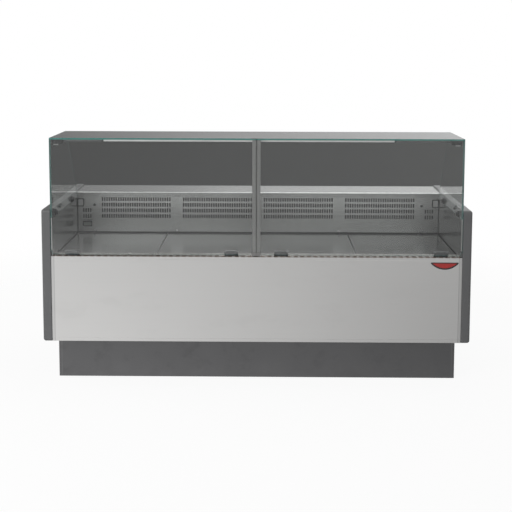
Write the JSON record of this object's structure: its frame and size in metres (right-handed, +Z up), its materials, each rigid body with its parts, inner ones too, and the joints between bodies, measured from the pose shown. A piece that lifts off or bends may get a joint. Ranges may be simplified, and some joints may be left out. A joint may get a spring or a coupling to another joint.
{
  "type": "refrigerated deli case",
  "caption": "Long straight-glass refrigerated serve-over counter: insulated tub with lift-out deck trays, tip-down front panes, rear worktop and a condensing unit in its base.",
  "frame": {"origin": "on the floor, under the middle of the case", "axes": "+Z up, +X along the length to the customer's right, -Y towards the customer"},
  "size_m": [2.09, 0.93, 1.23],
  "materials": {
    "frame_paint": "matte",
    "galvanised": "satin",
    "feet": "satin",
    "plinth_paint": "satin",
    "satin_stainless": "satin",
    "end_moulding": "satin",
    "badge_enamel": "gloss",
    "foam": "matte",
    "grey_plastic": "matte",
    "black_plastic": "satin",
    "display_lens": "gloss",
    "switch_red": "gloss",
    "coil_fins": "satin",
    "compressor_paint": "satin",
    "copper": "satin",
    "clear_glass": "polished",
    "clamp_metal": "satin",
    "post_aluminium": "satin",
    "light_diffuser": "satin",
    "screw_steel": "satin"
  },
  "bodies": {
    "case": {"base_frame": "frame_paint", "levelling_feet": "feet", "plinth_front": "plinth_paint", "plinth_ends": "plinth_paint", "front_panel": "satin_stainless", "badge": "badge_enamel", "side_panel_left": "end_moulding", "side_panel_right": "end_moulding", "tub_outer_skin": "galvanised", "tub_insulation": "foam", "tub_liner": "satin_stainless", "end_liner_left": "satin_stainless", "end_liner_right": "satin_stainless", "drain_outlet": "grey_plastic", "front_sill": "satin_stainless", "tray_bearers": "galvanised", "rear_air_grille": "satin_stainless", "thermometer_frame": "black_plastic", "thermometer_display": "display_lens", "corner_covers": "black_plastic", "worktop": "satin_stainless", "rear_upper_panel": "satin_stainless", "service_panel": "plinth_paint", "panel_screws": "screw_steel", "control_panel": "black_plastic", "controller_display": "display_lens", "evaporator_coil": "coil_fins", "fan_deck": "galvanised", "evaporator_fan_motors": "black_plastic", "unit_tray": "galvanised", "compressor": "compressor_paint", "condenser_coil": "coil_fins", "condenser_shroud": "frame_paint", "condenser_fan_motor": "frame_paint", "refrigerant_pipes": "copper", "electrical_box": "grey_plastic", "cable_gland": "black_plastic", "top_glass": "clear_glass", "side_glass_left": "clear_glass", "side_glass_right": "clear_glass", "glass_knobs": "black_plastic", "hinge_brackets": "clamp_metal", "hinge_pins": "screw_steel", "corner_latches": "black_plastic", "centre_post": "post_aluminium", "light_bar": "light_diffuser"},
    "front_pane_left": {"front_glass_left": "clear_glass", "pane_clamps_left": "clamp_metal"},
    "front_pane_right": {"front_glass_right": "clear_glass", "pane_clamps_right": "clamp_metal"},
    "tray_1": {"deck_tray_1": "satin_stainless"},
    "tray_2": {"deck_tray_2": "satin_stainless"},
    "tray_3": {"deck_tray_3": "satin_stainless"},
    "tray_4": {"deck_tray_4": "satin_stainless"},
    "evaporator_rotor_1": {"evaporator_fan_1": "grey_plastic"},
    "evaporator_rotor_2": {"evaporator_fan_2": "grey_plastic"},
    "condenser_rotor": {"condenser_fan": "galvanised"},
    "light_rocker": {"light_switch": "switch_red"},
    "key_down": {"controller_key_down": "grey_plastic"},
    "key_up": {"controller_key_up": "grey_plastic"}
  },
  "joints": [
    {"name": "left_pane_tip", "type": "hinge", "parent": "case", "child": "front_pane_left", "pos_m": [-0.5, -0.451, 0.67], "axis": [1, 0, 0], "range_deg": [0, 90]},
    {"name": "right_pane_tip", "type": "hinge", "parent": "case", "child": "front_pane_right", "pos_m": [0.5, -0.451, 0.67], "axis": [1, 0, 0], "range_deg": [0, 90]},
    {"name": "tray_1_lift", "type": "slide", "parent": "case", "child": "tray_1", "axis": [0, 0, 1], "range_m": [0, 0.15]},
    {"name": "tray_2_lift", "type": "slide", "parent": "case", "child": "tray_2", "axis": [0, 0, 1], "range_m": [0, 0.15]},
    {"name": "tray_3_lift", "type": "slide", "parent": "case", "child": "tray_3", "axis": [0, 0, 1], "range_m": [0, 0.15]},
    {"name": "tray_4_lift", "type": "slide", "parent": "case", "child": "tray_4", "axis": [0, 0, 1], "range_m": [0, 0.15]},
    {"name": "evaporator_fan_1_spin", "type": "hinge", "parent": "case", "child": "evaporator_rotor_1", "pos_m": [-0.235, -0.259, 0.552], "axis": [0, 1, 0], "continuous": true},
    {"name": "evaporator_fan_2_spin", "type": "hinge", "parent": "case", "child": "evaporator_rotor_2", "pos_m": [0.235, -0.259, 0.552], "axis": [0, 1, 0], "continuous": true},
    {"name": "condenser_fan_spin", "type": "hinge", "parent": "case", "child": "condenser_rotor", "pos_m": [0.5, 0.1697, 0.24], "axis": [0, 1, 0], "continuous": true},
    {"name": "light_rocker_tilt", "type": "hinge", "parent": "case", "child": "light_rocker", "pos_m": [0.8, 0.4533, 0.75], "axis": [1, 0, 0], "range_deg": [-7, 7]},
    {"name": "key_down_press", "type": "slide", "parent": "case", "child": "key_down", "axis": [0, -1, 0], "range_m": [0, 0.002], "stiffness_N_per_m": 400},
    {"name": "key_up_press", "type": "slide", "parent": "case", "child": "key_up", "axis": [0, -1, 0], "range_m": [0, 0.002], "stiffness_N_per_m": 400}
  ]
}
